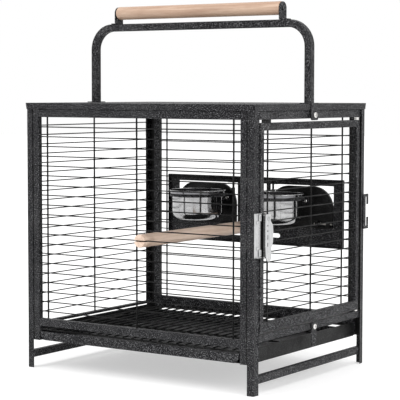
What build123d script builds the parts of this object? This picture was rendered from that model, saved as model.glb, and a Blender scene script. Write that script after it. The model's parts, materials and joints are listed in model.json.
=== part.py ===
"""Portable wire bird cage with a carrying handle, swing-out bowls, a drop tray and a floor grate.

Origin: on the floor, under the middle of the cage.  X runs along the long front panel,
+X is the end with the door, -Y is the front and +Z is up.  All sizes are in millimetres.
"""

import os
from math import ceil

from build123d import *

# ---- driving sizes ------------------------------------------------------------------
CAGE_X = 475.0  # over the corner posts, along the front
CAGE_Y = 375.0  # over the corner posts, front to back
CAP_TOP = 472.0  # top of the roof sheet
SHEET = 1.2  # folded steel sheet
ANGLE = 12.5  # leg of the corner angles
GAP = 0.3  # air between pieces that move past each other
FIT = 0.05  # radial clearance of a running pin

# ---- corner posts and panels --------------------------------------------------------
HALF_X = CAGE_X / 2
HALF_Y = CAGE_Y / 2
CAP_UNDER = CAP_TOP - 1.0
RAIL_TOP = (447.0, 461.0)  # upper rails of all four panels
RAIL_LOW = {"front": (76.5, 90.0), "back": (66.0, 90.0)}  # lower rails, long panels
RAIL_END = {"left": (74.8, 79.5), "right": (85.0, 97.5)}  # lower rails of the two ends
STRETCHER = (18.0, 31.0)  # bars between the legs at each end
TUBE_DEEP = 10.0  # depth of the panel tubes
STILE_X = (211.0, 223.0)  # panel stiles, measured from the middle
STILE_FOOT = 50.5
END_FACE = HALF_X - SHEET  # outer face of the end rails, behind the post flange
END_X = (END_FACE - TUBE_DEEP, END_FACE)
END_Y = HALF_Y - 2 * SHEET - 0.1

# ---- wires --------------------------------------------------------------------------
WIRE_R = 1.0  # thin horizontal wires
ROD_R = 1.5  # thicker upright wires
BITE = 0.3  # how far two welded wires sink into each other
WIRE_INSET = 3.5  # from the panel's face to the thin wires' middle
FRONT_PITCH = 17.2
FRONT_WIRES = 20
FRONT_RODS = (-195.0, 0.0, 195.0)
END_PITCH = 16.8
END_WIRES = 21
END_TOP_WIRE = 431.8
END_RODS = (-166.0, 0.0, 166.0)

# ---- door in the +X end -------------------------------------------------------------
DOOR_X = (229.5, 236.5)
DOOR_Y = (-166.5, 171.0)
DOOR_Z = (100.0, 442.0)
DOOR_STILE = 11.5
DOOR_TOP = 12.5
DOOR_BOTTOM = 16.5
DOOR_PITCH = 16.7
DOOR_WIRES = 18
DOOR_RODS = (-138.0, 4.0, 146.0)
DOOR_STOP_Y = (-149.0, -121.0)  # tab under the upper rail that stops the door
PIVOT_R = 2.3
PIVOT = (233.0, DOOR_Y[1] - DOOR_STILE / 2)
PIVOT_REACH = 4.0  # how far the pins enter the end rails

# ---- latch on the door's free edge --------------------------------------------------
LATCH_PIN = (240.0, -160.5)
LATCH_PIN_R = 1.5
LATCH_BARREL_R = 2.2
LATCH_PLATE = 1.4

# ---- handle -------------------------------------------------------------------------
TUBE = 13.2
LEG_X = 229.0
HANDLE_Y = 1.5
FOOT_PLATE = 1.5
ARCH_Z = 609.0
BEND = 40.0
GRIP_R = 11.8
GRIP_Z = 635.2
GRIP_HALF = 174.5
BRACKET = 2.5
STRAP_WIDE = 24.0
STRAP_LOW = 444.0

# ---- feeder station in the back panel -----------------------------------------------
FEEDER_Y = (192.0, 193.5)
FEEDER_X = 194.0
FLANGE_FRONT = 185.0  # its turned flange rests on the back of the wires
FEEDER_Z = (206.0, 331.0)
PORT_X = (36.5, 172.3)  # each hatch's opening, from the middle
PORT_Z = (240.3, 319.0)
HATCH_X = (38.5, 171.9)  # each swing-out hatch
HATCH_Z = (240.6, 317.5)
HATCH_Y = (192.2, 193.4)
HATCH_ARCH = 40.0
HATCH_LIP = 4.5
HATCH_PIVOT = (44.5, 188.8)
HATCH_PIVOT_R = 2.0
RING_R = 48.5
RING_WIDE = 4.0
RING_Z = (295.0, 299.5)
RING_BAR_Z = (284.0, 300.0)
RING_BAR_HALF = 33.0
RING_BOLT_X = 27.0
RING_BOLT_Z = 290.0
BOWL = (87.0, 129.5)
BOWL_R = 48.0
BOWL_Z = (251.0, 307.0)
BOWL_WALL = 0.8
COLLAR_R = 52.0
BOLT_YZ = (188.7, 248.8)
BOLT_R = 2.5

# ---- perch, tray and grate ----------------------------------------------------------
PERCH_X = 13.2
PERCH_R = 11.5
RUNNER_Y = HALF_Y - TUBE_DEEP
TRAY_X = 199.5
TRAY_Y = (-186.0, 172.0)
TRAY_Z = (51.3, 64.0)
LIP_X = 209.0
LIP_TOP = 66.9
SHELF_TOP = 51.0
GRATE_SHELF = 68.4
RUNNER_TOP = 74.0
GRATE_PITCH = 18.6
GRATE_WIRES = 22
GRATE_Y = (-184.5, 176.5)
GRATE_CROSS = (-183.0, -62.0, 58.0, 175.0)

LEFT, RIGHT = -1, 1
SIDES = {"left": LEFT, "right": RIGHT}


def finish(piece, name):
    """Label a finished piece and write it."""
    piece.part.label = name
    export_step(piece.part, f"parts/{name}.step")


def between(x, y, z, mode=Mode.ADD):
    """A box between two limits on each axis, in the current part."""
    low = [min(pair) for pair in (x, y, z)]
    high = [max(pair) for pair in (x, y, z)]
    middle = tuple((a + b) / 2 for a, b in zip(low, high))
    with Locations(middle):
        Box(*[b - a for a, b in zip(low, high)], mode=mode)


def shrink(pair, by):
    """The same limits, brought in on both sides."""
    return (min(pair) + by, max(pair) - by)


def rod(radius, start, length, along, mode=Mode.ADD):
    """A round bar from a point, along +X, +Y or +Z, in the current part."""
    turn = {"x": (0, 90, 0), "y": (-90, 0, 0), "z": (0, 0, 0)}[along]
    with Locations(start):
        Cylinder(
            radius,
            length,
            rotation=turn,
            align=(Align.CENTER, Align.CENTER, Align.MIN),
            mode=mode,
        )


def rods(radius, starts, length, along):
    """Equal round bars from several points, in the current part."""
    turn = {"x": (0, 90, 0), "y": (-90, 0, 0), "z": (0, 0, 0)}[along]
    with Locations(*starts):
        Cylinder(radius, length, rotation=turn, align=(Align.CENTER, Align.CENTER, Align.MIN))


def mirrored(pair, side):
    """Limits measured from the middle, taken to one side."""
    return (pair[0] * side, pair[1] * side)


def tube(name, x, y, z, along, holes=(), tabs=()):
    """A rectangular tube open at both ends, with optional holes and welded-on tabs."""
    limits = {"x": x, "y": y, "z": z}
    inner = {key: pair if key == along else shrink(pair, SHEET) for key, pair in limits.items()}
    with BuildPart() as piece:
        between(x, y, z)
        between(inner["x"], inner["y"], inner["z"], mode=Mode.SUBTRACT)
        for tab in tabs:
            between(*tab)
        for radius, start, length, way in holes:
            rod(radius, start, length, way, mode=Mode.SUBTRACT)
    finish(piece, name)


# ---- body of the cage ---------------------------------------------------------------
def corner_posts():
    """Four steel angles that stand on the floor and carry the roof."""
    for depth, front in (("front", -1), ("rear", 1)):
        for hand, side in SIDES.items():
            with BuildPart() as post:
                between(
                    mirrored((HALF_X - ANGLE, HALF_X), side),
                    mirrored((HALF_Y - SHEET, HALF_Y), front),
                    (0, CAP_UNDER),
                )
                between(
                    mirrored((HALF_X - SHEET, HALF_X), side),
                    mirrored((HALF_Y - ANGLE, HALF_Y), front),
                    (0, CAP_UNDER),
                )
            finish(post, f"corner_post_{depth}_{hand}")


def end_rails():
    """Upper and lower rails and the leg stretcher of each end."""
    bore = SCREW_R + FIT
    for hand, side in SIDES.items():
        x = mirrored(END_X, side)
        outer = min(x) - 1 if side == LEFT else max(x) - SHEET - 1
        top_holes = [(bore, (outer, HANDLE_Y, FOOT_SCREW_Z), SHEET + 2, "x")]
        low_holes = []
        stops = []
        if side == RIGHT:
            stop_x = (DOOR_X[0] - 2.5, DOOR_X[0] - 1.1)
            stops.append((stop_x, DOOR_STOP_Y, (DOOR_Z[1] - 5, RAIL_TOP[0] + SHEET / 2)))
            socket = PIVOT_REACH + 2
            top_holes.append((PIVOT_R + FIT, (*PIVOT, RAIL_TOP[0] - 1), socket, "z"))
            low_holes.append((PIVOT_R + FIT, (*PIVOT, RAIL_END[hand][1] + 1 - socket), socket, "z"))
            low_holes.append((bore, (outer, TAB_Y, TAB_Z), SHEET + 2, "x"))
        tube(f"{hand}_end_top_rail", x, (-END_Y, END_Y), RAIL_TOP, "y", top_holes, stops)
        tube(f"{hand}_end_bottom_rail", x, (-END_Y, END_Y), RAIL_END[hand], "y", low_holes)
        leg_gap = HALF_Y - SHEET
        tube(f"{hand}_end_stretcher", x, (-leg_gap, leg_gap), STRETCHER, "y")


def long_panel_frame(word, front):
    """Two stiles, each with a lap strip behind the post, and two rails of a long panel."""
    y = mirrored((HALF_Y - TUBE_DEEP, HALF_Y), front)
    for hand, side in SIDES.items():
        with BuildPart() as stile:
            between(mirrored(STILE_X, side), y, (STILE_FOOT, CAP_UNDER))
            between(
                mirrored(shrink(STILE_X, SHEET), side),
                shrink(y, SHEET),
                (STILE_FOOT, CAP_UNDER),
                mode=Mode.SUBTRACT,
            )
            between(
                mirrored((STILE_X[1], END_FACE), side),
                mirrored((HALF_Y - 2 * SHEET, HALF_Y - SHEET), front),
                (STILE_FOOT, CAP_UNDER),
            )
        finish(stile, f"{word}_stile_{hand}")
    x = (-STILE_X[0], STILE_X[0])
    tube(f"{word}_top_rail", x, y, RAIL_TOP, "x")
    tube(f"{word}_bottom_rail", x, y, RAIL_LOW[word], "x")


def front_levels():
    """Heights of the thin wires in the long panels, counted down from the upper rail."""
    return [RAIL_TOP[0] - FRONT_PITCH * (i + 1) for i in range(FRONT_WIRES)]


def front_wires():
    """Welded wire mesh of the front panel."""
    wire_y = -HALF_Y + WIRE_INSET
    rod_y = wire_y + WIRE_R + ROD_R - BITE
    half = STILE_X[0]
    with BuildPart() as wires:
        rods(WIRE_R, [(-half, wire_y, z) for z in front_levels()], 2 * half, "x")
        height = RAIL_TOP[0] - RAIL_LOW["front"][1]
        rods(ROD_R, [(x, rod_y, RAIL_LOW["front"][1]) for x in FRONT_RODS], height, "z")
    finish(wires, "front_wires")


def back_wires():
    """Mesh of the back panel, with its thin wires cut away in front of the feeder plate."""
    wire_y = HALF_Y - WIRE_INSET
    rod_y = wire_y - WIRE_R - ROD_R + BITE
    half = STILE_X[0]
    side_end = FEEDER_X - SHEET
    low, high = FEEDER_Z[0] + 3, FEEDER_Z[1] - 9
    whole = [z for z in front_levels() if not low < z < high]
    cut = [z for z in front_levels() if low < z < high]
    with BuildPart() as wires:
        rods(WIRE_R, [(-half, wire_y, z) for z in whole], 2 * half, "x")
        for start in (-half, side_end):
            rods(WIRE_R, [(start, wire_y, z) for z in cut], half - side_end, "x")
        height = RAIL_TOP[0] - RAIL_LOW["back"][1]
        rods(ROD_R, [(x, rod_y, RAIL_LOW["back"][1]) for x in FRONT_RODS], height, "z")
    finish(wires, "back_wires")


def left_end_wires():
    """Mesh of the closed end, lapped behind the post flanges."""
    wire_x = -END_FACE + WIRE_R
    rod_x = wire_x + WIRE_R + ROD_R - BITE
    low = RAIL_END["left"][1]
    levels = [END_TOP_WIRE - END_PITCH * i for i in range(END_WIRES)]
    with BuildPart() as wires:
        rods(WIRE_R, [(wire_x, -END_Y, z) for z in levels], 2 * END_Y, "y")
        rods(ROD_R, [(rod_x, y, low) for y in END_RODS], RAIL_TOP[0] - low, "z")
    finish(wires, "left_end_wires")


def roof_cap():
    """Folded roof sheet with four lips and open notches at its corners."""
    out_x, out_y = HALF_X + 1.5, HALF_Y + 1.5
    notch = 2.0
    with BuildPart() as cap:
        between((-out_x, out_x), (-out_y, out_y), (CAP_UNDER, CAP_TOP))
        for way in (-1, 1):
            between(
                (notch - out_x, out_x - notch),
                mirrored((out_y - 1, out_y), way),
                (RAIL_TOP[1], CAP_TOP),
            )
            between(
                mirrored((out_x - 1, out_x), way),
                (notch - out_y, out_y - notch),
                (RAIL_TOP[1], CAP_TOP),
            )
    finish(cap, "roof_cap")


# ---- door ---------------------------------------------------------------------------
def main_door():
    """Door frame, its mesh and the two pins it turns on."""
    inner_y = shrink(DOOR_Y, DOOR_STILE)
    inner_z = (DOOR_Z[0] + DOOR_BOTTOM, DOOR_Z[1] - DOOR_TOP)
    tube("door_stile_front", DOOR_X, (DOOR_Y[0], inner_y[0]), DOOR_Z, "z")
    tube("door_stile_rear", DOOR_X, (inner_y[1], DOOR_Y[1]), DOOR_Z, "z")
    tube("door_top_rail", DOOR_X, inner_y, (inner_z[1], DOOR_Z[1]), "y")
    tube("door_bottom_rail", DOOR_X, inner_y, (DOOR_Z[0], inner_z[0]), "y")

    wire_x = DOOR_X[1] - WIRE_R - 1
    rod_x = wire_x - WIRE_R - ROD_R + BITE
    middle = sum(inner_z) / 2
    levels = [middle + DOOR_PITCH * (i - (DOOR_WIRES - 1) / 2) for i in range(DOOR_WIRES)]
    with BuildPart() as wires:
        rods(WIRE_R, [(wire_x, inner_y[0], z) for z in levels], inner_y[1] - inner_y[0], "y")
        rods(ROD_R, [(rod_x, y, inner_z[0]) for y in DOOR_RODS], inner_z[1] - inner_z[0], "z")
    finish(wires, "door_wires")

    held = 10.0
    collar = 4.2
    top_pin = RAIL_TOP[0] - DOOR_Z[1] + PIVOT_REACH + held
    sill = RAIL_END["right"][1]
    low_pin = DOOR_Z[0] - sill + PIVOT_REACH + held
    with BuildPart() as pins:
        rod(PIVOT_R, (*PIVOT, DOOR_Z[1] - held), top_pin, "z")
        rod(PIVOT_R, (*PIVOT, sill - PIVOT_REACH), low_pin, "z")
        rod(collar, (*PIVOT, DOOR_Z[1]), RAIL_TOP[0] - DOOR_Z[1] - GAP, "z")
        rod(collar, (*PIVOT, sill + GAP), DOOR_Z[0] - sill - GAP, "z")
    finish(pins, "door_pivot_pins")


# ---- latch --------------------------------------------------------------------------
def latch():
    """Keeper on the post, and a hinged lever with its base and pin on the door."""
    keeper_z = (225.0, 297.0)
    keeper_y = (-187.0, -169.0)
    base_y = (-168.6, -153.0)
    face = HALF_X
    ear = 243.0
    with BuildPart() as keeper:
        between((face, face + SHEET), keeper_y, keeper_z)
        between((face, ear), (keeper_y[0], -172), (keeper_z[1] - SHEET, keeper_z[1]))
        between((face, ear), (keeper_y[0], -172), (keeper_z[0], keeper_z[0] + SHEET))
        for z in (240.0, 282.0):
            rod(3.0, (face + SHEET, -179.0, z), 1.3, "x")
    finish(keeper, "latch_keeper")

    base_x = (DOOR_X[1], DOOR_X[1] + SHEET)
    knuckle = 2.6
    ends = ((225.5, 234.5), (283.5, 292.5))
    with BuildPart() as base:
        between(base_x, base_y, (222.0, 296.0))
        for low, high in ends:
            rod(knuckle, (*LATCH_PIN, low), high - low, "z")
            rod(LATCH_PIN_R + FIT, (*LATCH_PIN, low - 1), high - low + 2, "z", Mode.SUBTRACT)
    finish(base, "latch_base")

    with BuildPart() as pin:
        rod(LATCH_PIN_R, (*LATCH_PIN, ends[0][0]), ends[1][1] - ends[0][0], "z")
        for z in (ends[0][0] - 1.2, ends[1][1]):
            rod(LATCH_PIN_R + 0.8, (*LATCH_PIN, z), 1.2, "z")
    finish(pin, "latch_pin")

    lever_x = LATCH_PIN[0] + 3.0
    outline = [
        (-162.5, 294.5),
        (-147.5, 294.5),
        (-147.0, 283.0),
        (-140.0, 276.5),
        (-138.5, 262.0),
        (-140.0, 246.5),
        (-144.5, 240.0),
        (-144.5, 222.5),
        (-149.5, 217.0),
        (-156.5, 217.5),
        (-161.5, 224.0),
        (-162.5, 236.0),
    ]
    plate = Plane(origin=(lever_x, 0, 0), x_dir=(0, 1, 0), z_dir=(1, 0, 0))
    with BuildPart() as lever:
        with BuildSketch(plate):
            with BuildLine():
                Polyline(*outline, close=True)
            make_face()
        extrude(amount=LATCH_PLATE)
        fillet(lever.edges().filter_by(Axis.X), radius=1.8)
        low, high = ends[0][1] + 0.4, ends[1][0] - 0.4
        rod(LATCH_BARREL_R, (*LATCH_PIN, low), high - low, "z")
        between(
            (LATCH_PIN[0], lever_x + 0.3),
            (LATCH_PIN[1], LATCH_PIN[1] + LATCH_BARREL_R),
            (low, high),
        )
        rod(LATCH_PIN_R + FIT, (*LATCH_PIN, low - 1), high - low + 2, "z", Mode.SUBTRACT)
    finish(lever, "latch_lever")


# ---- swivel tab and side bracket ----------------------------------------------------
TAB_X = (237.0, 238.5)
TAB_Y = 7.0
TAB_Z = 90.0
TAB_R = 8.0
TAB_LOW = 55.0
TAB_HIGH = TAB_Z + TAB_R + 1
SCREW_R = 2.0
FOOT_SCREW_Z = 452.7
HEAD = (5.0, 2.8)  # radius and height of the pan heads


def swivel_tab():
    """Turn button that hangs from one screw below the door."""
    face = Plane(origin=(TAB_X[0], 0, 0), x_dir=(0, 1, 0), z_dir=(1, 0, 0))
    with BuildPart() as tab:
        with BuildSketch(face):
            with Locations((TAB_Y, (TAB_HIGH + TAB_LOW) / 2)):
                SlotOverall(TAB_HIGH - TAB_LOW, 2 * TAB_R, rotation=90)
            with Locations((TAB_Y, TAB_Z)):
                Circle(SCREW_R + FIT, mode=Mode.SUBTRACT)
        extrude(amount=TAB_X[1] - TAB_X[0])
    finish(tab, "swivel_tab")


def side_bracket():
    """C-shaped bracket on the rear post, its arms reaching past the back."""
    plate = Plane(origin=(HALF_X, 0, 0), x_dir=(0, 1, 0), z_dir=(1, 0, 0))
    top, low = 308.0, 245.0
    with BuildPart() as bracket:
        with BuildSketch(plate):
            with BuildLine():
                Polyline(
                    (181.5, low),
                    (200.5, low),
                    (200.5, 266.0),
                    (196.3, 266.0),
                    (196.3, low + 5),
                    (190.5, low + 5),
                    (190.5, top - 5),
                    (196.3, top - 5),
                    (196.3, 289.0),
                    (200.5, 289.0),
                    (200.5, top),
                    (181.5, top),
                    close=True,
                )
            make_face()
        extrude(amount=2.0)
        fillet(bracket.edges().filter_by(Axis.X), radius=0.9)
        for z in (258.0, 295.0):
            rod(2.4, (HALF_X + 2.0, 185.0, z), 1.2, "x")
    finish(bracket, "side_bracket")


# ---- handle -------------------------------------------------------------------------
def handle():
    """Square-tube arch, its two feet, and the wooden grip on two upright plates."""
    start = CAP_TOP + FOOT_PLATE
    with BuildPart() as arch:
        with BuildLine() as path:
            FilletPolyline(
                (-LEG_X, HANDLE_Y, start),
                (-LEG_X, HANDLE_Y, ARCH_Z),
                (LEG_X, HANDLE_Y, ARCH_Z),
                (LEG_X, HANDLE_Y, start),
                radius=BEND,
            )
        with BuildSketch(Plane(origin=path.line @ 0, x_dir=(0, 1, 0), z_dir=path.line % 0)):
            RectangleRounded(TUBE, TUBE, 1.6)
            RectangleRounded(TUBE - 2.4, TUBE - 2.4, 0.6, mode=Mode.SUBTRACT)
        sweep()
    finish(arch, "handle_tube")

    wide = (HANDLE_Y - STRAP_WIDE / 2, HANDLE_Y + STRAP_WIDE / 2)
    lip = HALF_X + 1.5
    for hand, side in SIDES.items():
        with BuildPart() as foot:
            between(mirrored((LEG_X - 12, lip + FOOT_PLATE), side), wide, (CAP_TOP, start))
            between(mirrored((lip, lip + FOOT_PLATE), side), wide, (STRAP_LOW, start))
            rod(
                SCREW_R + FIT,
                (min(side * lip, side * (lip + FOOT_PLATE)) - 1, HANDLE_Y, FOOT_SCREW_Z),
                FOOT_PLATE + 2,
                "x",
                Mode.SUBTRACT,
            )
            fillet(foot.edges().filter_by(Axis.X).sort_by(Axis.Z)[:2], radius=4)
        finish(foot, f"handle_foot_{hand}")

    pilot = 15.0
    with BuildPart() as grip:
        rod(GRIP_R, (-GRIP_HALF, HANDLE_Y, GRIP_Z), 2 * GRIP_HALF, "x")
        fillet(grip.edges(), radius=1.2)
        for x in (-GRIP_HALF, GRIP_HALF - pilot):
            rod(SCREW_R + FIT, (x, HANDLE_Y, GRIP_Z), pilot, "x", Mode.SUBTRACT)
    finish(grip, "handle_grip")

    tube_top = ARCH_Z + TUBE / 2
    radius = GRIP_R - 0.5
    for hand, side in SIDES.items():
        inner = side * GRIP_HALF
        facing = Plane(origin=(inner, HANDLE_Y, 0), x_dir=(0, 1, 0), z_dir=(1, 0, 0))
        with BuildPart() as bracket:
            with BuildSketch(facing):
                with Locations((0, GRIP_Z)):
                    Circle(radius)
                with Locations((0, (tube_top + GRIP_Z) / 2)):
                    Rectangle(2 * radius, GRIP_Z - tube_top)
                with Locations((0, GRIP_Z)):
                    Circle(SCREW_R + FIT, mode=Mode.SUBTRACT)
            extrude(amount=side * BRACKET)
            between(
                mirrored((GRIP_HALF, GRIP_HALF + 14), side),
                (HANDLE_Y - TUBE / 2, HANDLE_Y + TUBE / 2),
                (tube_top, tube_top + 1.5),
            )
        finish(bracket, f"grip_bracket_{hand}")

    with BuildPart() as screws:
        head = GRIP_HALF + BRACKET
        rod(SCREW_R, (GRIP_HALF - pilot + 1, HANDLE_Y, GRIP_Z), pilot - 1 + BRACKET, "x")
        rod(3.8, (head, HANDLE_Y, GRIP_Z), 2.2, "x")
        rod(SCREW_R, (-head, HANDLE_Y, GRIP_Z), pilot - 1 + BRACKET, "x")
        rod(3.8, (-head - 2.2, HANDLE_Y, GRIP_Z), 2.2, "x")
    finish(screws, "grip_screws")


def frame_screws():
    """Three equal pan-head screws: one in each handle foot and one in the swivel tab."""
    radius, height = HEAD
    foot = HALF_X + 1.5 + FOOT_PLATE
    shank = 8.0
    tab = TAB_X[1] + 0.1
    with BuildPart() as screws:
        for start, head in (((foot - shank), foot), ((-foot), -foot - height)):
            rod(SCREW_R, (start, HANDLE_Y, FOOT_SCREW_Z), shank, "x")
            rod(radius, (head, HANDLE_Y, FOOT_SCREW_Z), height, "x")
        rod(SCREW_R, (tab - shank, TAB_Y, TAB_Z), shank, "x")
        rod(radius, (tab, TAB_Y, TAB_Z), height, "x")
        fillet(
            screws.edges().filter_by(GeomType.CIRCLE).filter_by(lambda e: is_head_rim(e, radius)),
            radius=1.4,
        )
    finish(screws, "frame_screws")


def is_head_rim(edge, radius):
    """True for the outer rim of a screw head, away from the cage."""
    outermost = {
        HALF_X + 1.5 + FOOT_PLATE + HEAD[1],
        TAB_X[1] + 0.1 + HEAD[1],
    }
    x = abs(edge.center().X)
    return abs(edge.radius - radius) < 0.01 and any(abs(x - at) < 0.01 for at in outermost)


# ---- feeder station -----------------------------------------------------------------
WEB_TOP = 305.0
SLOT_X = (-50.0, 58.0)
SLOT_Z = (218.0, 226.0)
PERCH_Z = RAIL_TOP[0] - FRONT_PITCH * ceil((RAIL_TOP[0] - 241.8) / FRONT_PITCH)
BOLT_REST = 171.5
PIVOT_SHELF = 17.0  # width of the shelves that hold the pivot rods
GUIDES = ((137.0, 143.0), (160.0, 168.0))
KNOB_X = 148.0


def feeder_frame():
    """Flanged plate with two ports, a see-through slot and shelves for the pivot rods."""
    deep = (FLANGE_FRONT, FEEDER_Y[1])
    whole = (-FEEDER_X, FEEDER_X)
    with BuildPart() as frame:
        between(whole, deep, FEEDER_Z)
        between(
            shrink(whole, SHEET),
            (FLANGE_FRONT - 1, FEEDER_Y[0]),
            shrink(FEEDER_Z, SHEET),
            Mode.SUBTRACT,
        )
        for side in (LEFT, RIGHT):
            port = mirrored(PORT_X, side)
            between(port, (FEEDER_Y[0] - 1, FEEDER_Y[1] + 1), PORT_Z, Mode.SUBTRACT)
        middle = (6 - PORT_X[0], PORT_X[0] - 6)
        between(middle, (FEEDER_Y[0] - 1, FEEDER_Y[1] + 1), (WEB_TOP, PORT_Z[1]), Mode.SUBTRACT)
        back = Plane(origin=(0, FEEDER_Y[0] - 1, 0), x_dir=(1, 0, 0), z_dir=(0, -1, 0))
        with BuildSketch(back):
            with Locations((sum(SLOT_X) / 2, sum(SLOT_Z) / 2)):
                SlotOverall(SLOT_X[1] - SLOT_X[0], SLOT_Z[1] - SLOT_Z[0])
        extrude(amount=-4, mode=Mode.SUBTRACT)
        for side in (LEFT, RIGHT):
            shelf_x = mirrored((PORT_X[0] + 1, PORT_X[0] + 1 + PIVOT_SHELF), side)
            for z in ((PORT_Z[0] - SHEET, PORT_Z[0]), (PORT_Z[1], PORT_Z[1] + SHEET)):
                between(shelf_x, (FLANGE_FRONT, FEEDER_Y[0]), z)
            rod(
                HATCH_PIVOT_R + FIT,
                (side * HATCH_PIVOT[0], HATCH_PIVOT[1], PORT_Z[0] - 5),
                PORT_Z[1] - PORT_Z[0] + 10,
                "z",
                Mode.SUBTRACT,
            )
        rod(SCREW_R + FIT, (PERCH_X, FEEDER_Y[0] - 1, PERCH_Z), 4, "y", Mode.SUBTRACT)
    finish(frame, "feeder_frame")

    with BuildPart() as pivots:
        low = PORT_Z[0] - 3
        high = PORT_Z[1] + 3
        starts = [(side * HATCH_PIVOT[0], HATCH_PIVOT[1], low) for side in (LEFT, RIGHT)]
        rods(HATCH_PIVOT_R, starts, high - low, "z")
    finish(pivots, "feeder_pivot_rods")


def hatch_outline(inset):
    """Arched outline of a right-hand hatch, brought in by an amount on every side."""
    left, right = HATCH_X[0] + inset, HATCH_X[1] - inset
    low, top = HATCH_Z[0] + inset, HATCH_Z[1] - inset
    radius = HATCH_ARCH - inset
    with BuildLine() as outline:
        Polyline((left, top - radius), (left, low), (right, low), (right, top - radius))
        CenterArc((right - radius, top - radius), radius, 0, 90)
        Line((right - radius, top), (left + radius, top))
        CenterArc((left + radius, top - radius), radius, 90, 90)
    return outline


def feeder_hatch(hand, side):
    """Arched swing-out hatch with a turned lip, hinge knuckles and bolt guides."""
    back = Plane(origin=(0, HATCH_Y[1], 0), x_dir=(1, 0, 0), z_dir=(0, -1, 0))
    thick = HATCH_Y[1] - HATCH_Y[0]
    whole, hollow = hatch_outline(0), hatch_outline(thick)
    pivot = (HATCH_PIVOT[0], HATCH_PIVOT[1])
    bolt_y, bolt_z = BOLT_YZ
    with BuildPart() as hatch:
        with BuildSketch(back):
            add(whole.line)
            make_face()
        extrude(amount=thick + HATCH_LIP)
        with BuildSketch(back.offset(thick)):
            add(hollow.line)
            make_face()
        extrude(amount=HATCH_LIP + 1, mode=Mode.SUBTRACT)
        for low, high in ((250.0, 262.0), (297.0, 309.0)):
            rod(HATCH_PIVOT_R + 1.6, (*pivot, low), high - low, "z")
        bore = HATCH_Z[1] - HATCH_Z[0] + 2
        rod(HATCH_PIVOT_R + FIT, (*pivot, HATCH_Z[0] - 1), bore, "z", Mode.SUBTRACT)
        for x in GUIDES:
            between(x, (bolt_y - 4, HATCH_Y[0]), (bolt_z - 5, bolt_z + 5))
        rod(BOLT_R + FIT, (GUIDES[0][0] - 1, bolt_y, bolt_z), 45, "x", Mode.SUBTRACT)
        between(
            (KNOB_X - 5.4, KNOB_X + 11.4),
            (HATCH_Y[0] - 0.5, HATCH_Y[1] + 1),
            (bolt_z - 2.2, bolt_z + 2.2),
            Mode.SUBTRACT,
        )
        for x in (BOWL[0] - RING_BOLT_X, BOWL[0] + RING_BOLT_X):
            rod(SCREW_R + FIT, (x, HATCH_Y[0] - 1, RING_BOLT_Z), thick + 2, "y", Mode.SUBTRACT)
        if side == LEFT:
            mirror(about=Plane.YZ, mode=Mode.REPLACE)
    finish(hatch, f"feeder_hatch_{hand}")


def bowl_ring(hand, side):
    """Flat ring that carries a bowl, with a web and a screwed bar behind it."""
    centre = (side * BOWL[0], BOWL[1])
    bar_y = (HATCH_Y[0] - 1.5, HATCH_Y[0])
    with BuildPart() as ring:
        rod(RING_R + RING_WIDE, (*centre, RING_Z[0]), RING_Z[1] - RING_Z[0], "z")
        between(
            (centre[0] - 22, centre[0] + 22), (centre[1] + 30, bar_y[0]), shrink(RING_Z, SHEET)
        )
        between((centre[0] - RING_BAR_HALF, centre[0] + RING_BAR_HALF), bar_y, RING_BAR_Z)
        rod(RING_R, (*centre, RING_Z[0] - 1), RING_Z[1] - RING_Z[0] + 2, "z", Mode.SUBTRACT)
        for x in (centre[0] - RING_BOLT_X, centre[0] + RING_BOLT_X):
            rod(SCREW_R + FIT, (x, bar_y[0] - 1, RING_BOLT_Z), 4, "y", Mode.SUBTRACT)
    finish(ring, f"bowl_ring_{hand}")

    with BuildPart() as bolts:
        for x in (centre[0] - RING_BOLT_X, centre[0] + RING_BOLT_X):
            rod(SCREW_R, (x, bar_y[0], RING_BOLT_Z), 5.5, "y")
            rod(3.6, (x, bar_y[0] - 2.2, RING_BOLT_Z), 2.2, "y")
            rod(3.4, (x, HATCH_Y[1], RING_BOLT_Z), 2.2, "y")
    finish(bolts, f"ring_bolts_{hand}")


def bowl(hand, side):
    """Spun bowl with a rounded foot, a stepped collar and a rolled rim."""
    corner = 16.0
    shelf = RING_Z[1] + GAP - BOWL_Z[0]
    height = BOWL_Z[1] - BOWL_Z[0]
    bead = 1.1
    section = Plane(
        origin=(side * BOWL[0], BOWL[1], BOWL_Z[0]), x_dir=(1, 0, 0), z_dir=(0, -1, 0)
    )
    with BuildPart() as dish:
        with BuildSketch(section):
            with BuildLine():
                Line((0, 0), (BOWL_R - corner, 0))
                CenterArc((BOWL_R - corner, corner), corner, -90, 90)
                Polyline(
                    (BOWL_R, corner),
                    (BOWL_R, shelf),
                    (COLLAR_R, shelf),
                    (COLLAR_R, height),
                    (COLLAR_R - BOWL_WALL, height),
                    (COLLAR_R - BOWL_WALL, shelf + BOWL_WALL),
                    (BOWL_R - BOWL_WALL, shelf + BOWL_WALL),
                    (BOWL_R - BOWL_WALL, corner),
                )
                CenterArc((BOWL_R - corner, corner), corner - BOWL_WALL, -90, 90)
                Polyline((BOWL_R - corner, BOWL_WALL), (0, BOWL_WALL), (0, 0))
            make_face()
            with Locations((COLLAR_R + 0.2, height - bead)):
                Circle(bead)
        revolve(axis=Axis((side * BOWL[0], BOWL[1], 0), (0, 0, 1)))
    finish(dish, f"bowl_{hand}")


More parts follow.
